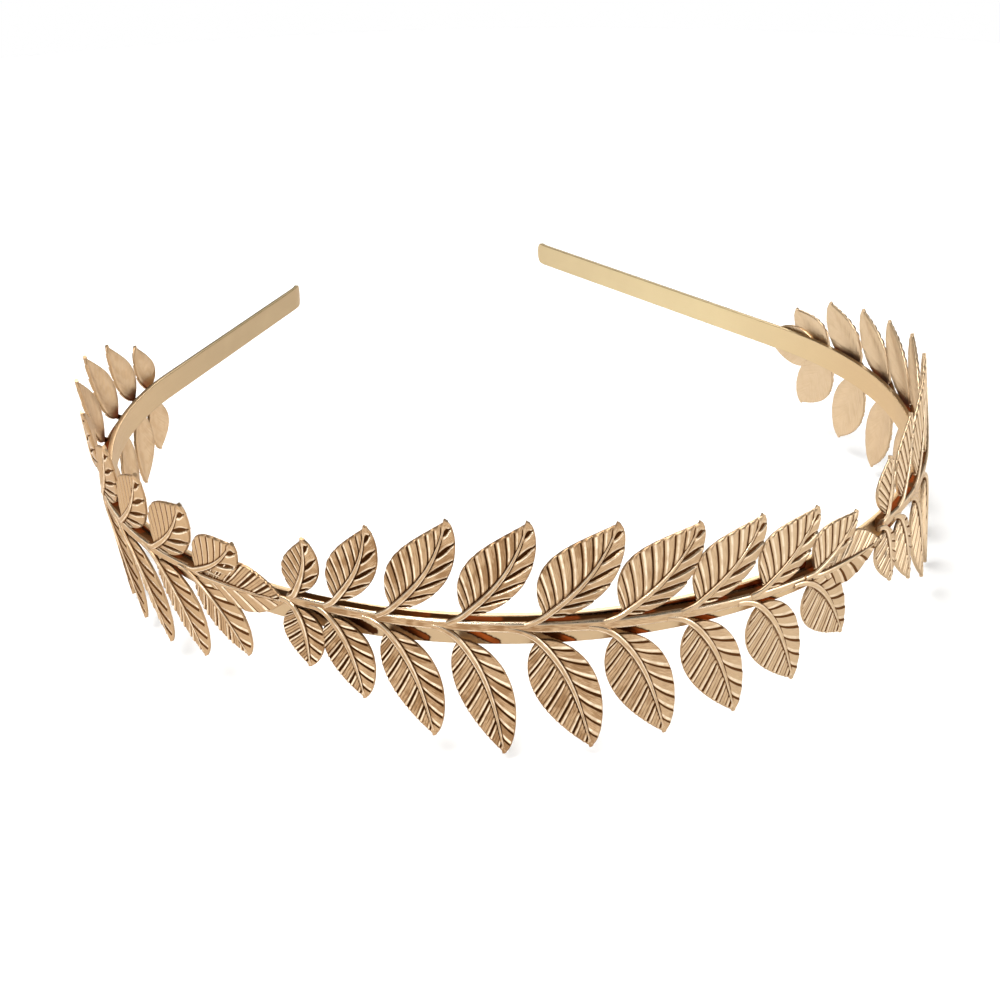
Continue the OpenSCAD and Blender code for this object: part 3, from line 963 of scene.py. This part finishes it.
band_metal = Finish("band_metal", Metallic=1.0, Specular_Tint=BAND_TINT)
place = band_metal.node("ShaderNodeTexCoord", output=OBJECT_OUTPUT)
to_right, to_back = band_metal.part(place, X_AXIS), band_metal.part(place, Y_AXIS)
rise = band_metal.part(place, Z_AXIS) - HOME.z * MM
crevice_depth = band_metal.attribute("crevice")
rolled = band_metal.noise(band_metal.stretched(place, ROLLED_STRETCH), 1.0, 3.0)
cloud = band_metal.noise(place, BAND_CLOUDS)
speckle = band_metal.noise(place, BAND_SPECKLES, 2.0)
print("the marks on the band metal take", len(band_metal.tree.nodes), "nodes")

# %% Band metal
FRONT_GOLD, SIDE_GOLD = (0.46, 0.325, 0.192), (0.53, 0.375, 0.212)
# the left arm's gold is painted as shaded and the right arm's as lit; the dark brown is painted crevice shade
SHADED_ARM_GOLD, LIT_ARM_GOLD = (0.37, 0.272, 0.163), (0.625, 0.505, 0.295)
CREVICE_SHADE_BROWN, DARKER_EDGE = (0.045, 0.014, 0.004), (0.13, 0.10, 0.05)
EDGE_HALF, EDGE_BLUR = 0.0023, 0.00008       # half the strip's height in metres, just inside its narrow faces
BAND_GETS_PALER, ARM_BEGINS = (-0.02, 0.07), (-0.01, 0.045)      # to the right and to the back, in metres
CREVICE_EDGE, RED_BEGINS = (-0.15, 0.1), (0.1, 0.35)             # millimetres inside a crevice
SATIN_ROUGHNESS = 0.36

paler = band_metal.between(*BAND_GETS_PALER, to_right) + (cloud - 0.5) * 0.3
# a painted red-brown reflection of the leaves deep in some crevices, and painted dark shade in the rest of
# them
red_places = band_metal.between(0.32, 0.46, band_metal.noise(place, RED_PATCHES, 1.0))
red = band_metal.between(*RED_BEGINS, crevice_depth) * red_places
crevice_shade_colour = band_metal.mix(red * (1 - where_shade_is_black(band_metal, to_right)), CREVICE_SHADE_BROWN, RED_BROWN_REFLECTION)
# the painted crevice shade covers the outer face inside a crevice
inside = band_metal.between(*CREVICE_EDGE, crevice_depth + (speckle - 0.5) * 0.4)
front_colour = band_metal.mix(paler, FRONT_GOLD, SIDE_GOLD)
# the arms are painted as lit on the right and shaded on the left
arm_colour = band_metal.mix(paler, SHADED_ARM_GOLD, LIT_ARM_GOLD)
on_arm = band_metal.between(*ARM_BEGINS, to_back)
narrow_face = band_metal.between(EDGE_HALF - EDGE_BLUR, EDGE_HALF, rise.maths("ABSOLUTE", rise))
plain = band_metal.mix(on_arm, front_colour, arm_colour)
# the narrow faces of the arms are coloured darker
plain = band_metal.mix(narrow_face * on_arm * 0.85, plain, DARKER_EDGE)
band_metal.feed("Base Color", band_metal.mix(inside, plain, crevice_shade_colour))
band_metal.feed("Roughness", SATIN_ROUGHNESS + (rolled - 0.5) * 0.16 + (speckle - 0.5) * 0.12)
band_metal.bump(rolled * 0.5 + speckle * 0.5, 0.2, BUMP_DEPTH)
band.data.materials.clear()
band.data.materials.append(band_metal.material)
print("band metal has", len(band_metal.tree.nodes), "nodes")

# %% [markdown]
# ## Floor
# The photograph has a white ground without shadows. White paper would turn grey under soft lamps, and the
# metal would show that grey. So the floor is a light table: a plain pale disc that glows a little. It is
# small, and the white of the horizon goes on beyond its edge.

# %% Floor
FLOOR_R, FLOOR_GLOW = 0.5, 0.18

select_nothing()
bpy.ops.mesh.primitive_circle_add(vertices=96, radius=FLOOR_R, fill_type="NGON", location=(0, 0, 0))
floor = bpy.context.object
floor.name = "floor"
floor_paint = Finish("floor_paint", Roughness=0.9, Base_Color=(0.86, 0.86, 0.85, 1),
                     Emission_Color=(1, 1, 1, 1), Emission_Strength=FLOOR_GLOW)
floor.data.materials.append(floor_paint.material)
print("the floor is", 2 * FLOOR_R, "m across")

# %% [markdown]
# ## Lamps and sky
# Metal has hardly a look of its own: it shows its surroundings. Four soft disc lamps stand round the tiara,
# high on the left, in front, low on the right and behind, and draw the light lines on crests and shoulders.
# The sky is white near the horizon and dark overhead. It could be white all over, but the relief would look
# flat then: faces that are turned up a little have to stand out from their neighbours.

# %% Lamps and sky
LAMPS_AIM = Vector((0, 0, 0.02))
# place and diameter in metres, and watts
LAMPS = {
    "key": ((-0.30, -0.15, 0.85), 0.6, 9.6),
    "front": ((-0.45, -0.85, 0.50), 0.25, 3.6),
    "fill": ((0.90, -0.55, 0.30), 0.6, 4.2),
    "rim": ((0.15, 0.75, 0.6), 0.5, 4.4),
}
# the sky is white up to this height of the line of sight, and its darkest grey from the second one on
WHITE_UP_TO, GREY_FROM, SKY_GREY = 0.04, 0.3, 0.1

for name, (spot, size, power) in LAMPS.items():
    lamp = bpy.data.lights.new(name, "AREA")
    lamp.shape, lamp.size, lamp.energy = "DISK", size, power
    stand = bpy.data.objects.new(name, lamp)
    bpy.context.scene.collection.objects.link(stand)
    stand.location = spot
    stand.rotation_euler = (LAMPS_AIM - Vector(spot)).to_track_quat("-Z", "Y").to_euler()

sky = bpy.data.worlds.new("sky")
sky.use_nodes = True
sky_tree = sky.node_tree
direction = sky_tree.nodes.new("ShaderNodeTexCoord")
height = sky_tree.nodes.new("ShaderNodeSeparateXYZ")
shade = sky_tree.nodes.new("ShaderNodeMapRange")
shade.inputs["From Min"].default_value = WHITE_UP_TO
shade.inputs["From Max"].default_value = GREY_FROM
shade.inputs["To Min"].default_value = 1.0
shade.inputs["To Max"].default_value = SKY_GREY
sky_tree.links.new(direction.outputs["Generated"], height.inputs[0])
sky_tree.links.new(height.outputs["Z"], shade.inputs["Value"])
sky_tree.links.new(shade.outputs[0], sky_tree.nodes["Background"].inputs["Color"])
bpy.context.scene.world = sky
bpy.context.scene.view_settings.view_transform = "Standard"
print(len(LAMPS), "lamps and a sky")
